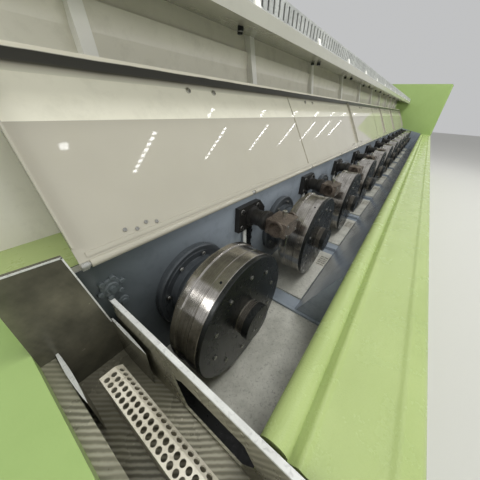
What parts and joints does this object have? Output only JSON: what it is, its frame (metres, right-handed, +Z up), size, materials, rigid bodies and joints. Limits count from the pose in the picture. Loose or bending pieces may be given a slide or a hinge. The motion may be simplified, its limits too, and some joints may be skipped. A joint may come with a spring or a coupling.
{
  "type": "multi-stage wire drawing machine",
  "caption": "Long wire drawing machine: a row of upright capstans in an open coolant trough with hinged hoods and closed housings.",
  "frame": {"origin": "on the floor, under the middle of the machine's length and depth", "axes": "+X along the machine from its entry end to its far end, +Y from the operator's side to the back, +Z up"},
  "size_m": [9.899, 1.6, 2.322],
  "materials": {
    "green_paint": "glossy orange-peel enamel",
    "slate_paint": "satin enamel",
    "cream_paint": "glossy enamel",
    "grey_panel": "semi-gloss enamel",
    "dark_paint": "matt enamel",
    "tray_steel": "stained bare plate",
    "stainless": "bare folded sheet",
    "ring_steel": "ground and polished by the wire",
    "black_steel": "blackened and oily",
    "die_steel": "brown and worn"
  },
  "bodies": {
    "frame": {"base_frame": "dark_paint", "trough_bed": "green_paint", "front_case": "green_paint", "front_skirt": "green_paint", "front_rim": "green_paint", "front_wall": "slate_paint", "tank_floor": "slate_paint", "floor_plates": "tray_steel", "drain_plates": "stainless", "back_wall": "slate_paint", "bearing_bosses": "slate_paint", "gear_case": "green_paint", "end_wall": "slate_paint", "near_partition": "stainless", "channel_pan": "stainless", "strainer_plate": "stainless", "guide_blades": "stainless", "near_housing": "green_paint", "seal_rings": "black_steel", "die_plates": "black_steel", "die_clamps": "black_steel", "die_boxes": "die_steel", "coolant_pipes": "black_steel", "hinge_rail": "stainless", "rear_enclosure": "grey_panel", "rear_posts": "cream_paint", "rear_covers": "green_paint", "rear_doors": "grey_panel", "canopy": "grey_panel", "cable_duct": "stainless", "far_housing": "green_paint"},
    "capstan_01": {"capstan_01": "ring_steel"},
    "capstan_02": {"capstan_02": "ring_steel"},
    "capstan_03": {"capstan_03": "ring_steel"},
    "capstan_04": {"capstan_04": "ring_steel"},
    "capstan_05": {"capstan_05": "ring_steel"},
    "capstan_06": {"capstan_06": "ring_steel"},
    "capstan_07": {"capstan_07": "ring_steel"},
    "capstan_08": {"capstan_08": "ring_steel"},
    "capstan_09": {"capstan_09": "ring_steel"},
    "capstan_10": {"capstan_10": "ring_steel"},
    "capstan_11": {"capstan_11": "ring_steel"},
    "capstan_12": {"capstan_12": "ring_steel"},
    "hood_1": {"hood_1": "cream_paint"},
    "hood_2": {"hood_2": "cream_paint"},
    "hood_3": {"hood_3": "cream_paint"},
    "hood_4": {"hood_4": "cream_paint"}
  },
  "joints": [
    {"name": "capstan_01_spin", "type": "hinge", "parent": "frame", "child": "capstan_01", "pos_m": [-4.1005, -0.332, 1], "axis": [0, 1, 0], "continuous": true},
    {"name": "capstan_02_spin", "type": "hinge", "parent": "frame", "child": "capstan_02", "pos_m": [-3.4005, -0.332, 1], "axis": [0, 1, 0], "continuous": true},
    {"name": "capstan_03_spin", "type": "hinge", "parent": "frame", "child": "capstan_03", "pos_m": [-2.7005, -0.332, 1], "axis": [0, 1, 0], "continuous": true},
    {"name": "capstan_04_spin", "type": "hinge", "parent": "frame", "child": "capstan_04", "pos_m": [-2.0005, -0.332, 1], "axis": [0, 1, 0], "continuous": true},
    {"name": "capstan_05_spin", "type": "hinge", "parent": "frame", "child": "capstan_05", "pos_m": [-1.3005, -0.332, 1], "axis": [0, 1, 0], "continuous": true},
    {"name": "capstan_06_spin", "type": "hinge", "parent": "frame", "child": "capstan_06", "pos_m": [-0.6005, -0.332, 1], "axis": [0, 1, 0], "continuous": true},
    {"name": "capstan_07_spin", "type": "hinge", "parent": "frame", "child": "capstan_07", "pos_m": [0.0995, -0.332, 1], "axis": [0, 1, 0], "continuous": true},
    {"name": "capstan_08_spin", "type": "hinge", "parent": "frame", "child": "capstan_08", "pos_m": [0.7995, -0.332, 1], "axis": [0, 1, 0], "continuous": true},
    {"name": "capstan_09_spin", "type": "hinge", "parent": "frame", "child": "capstan_09", "pos_m": [1.4995, -0.332, 1], "axis": [0, 1, 0], "continuous": true},
    {"name": "capstan_10_spin", "type": "hinge", "parent": "frame", "child": "capstan_10", "pos_m": [2.1995, -0.332, 1], "axis": [0, 1, 0], "continuous": true},
    {"name": "capstan_11_spin", "type": "hinge", "parent": "frame", "child": "capstan_11", "pos_m": [2.8995, -0.332, 1], "axis": [0, 1, 0], "continuous": true},
    {"name": "capstan_12_spin", "type": "hinge", "parent": "frame", "child": "capstan_12", "pos_m": [3.5995, -0.332, 1], "axis": [0, 1, 0], "continuous": true},
    {"name": "hood_1_swing", "type": "hinge", "parent": "frame", "child": "hood_1", "pos_m": [-3.0345, -0.073, 1.279], "axis": [1, 0, 0], "range_deg": [0, 130]},
    {"name": "hood_2_swing", "type": "hinge", "parent": "frame", "child": "hood_2", "pos_m": [-0.5845, -0.073, 1.279], "axis": [1, 0, 0], "range_deg": [0, 130]},
    {"name": "hood_3_swing", "type": "hinge", "parent": "frame", "child": "hood_3", "pos_m": [1.1655, -0.073, 1.279], "axis": [1, 0, 0], "range_deg": [0, 130]},
    {"name": "hood_4_swing", "type": "hinge", "parent": "frame", "child": "hood_4", "pos_m": [2.9155, -0.073, 1.279], "axis": [1, 0, 0], "range_deg": [0, 130]}
  ]
}
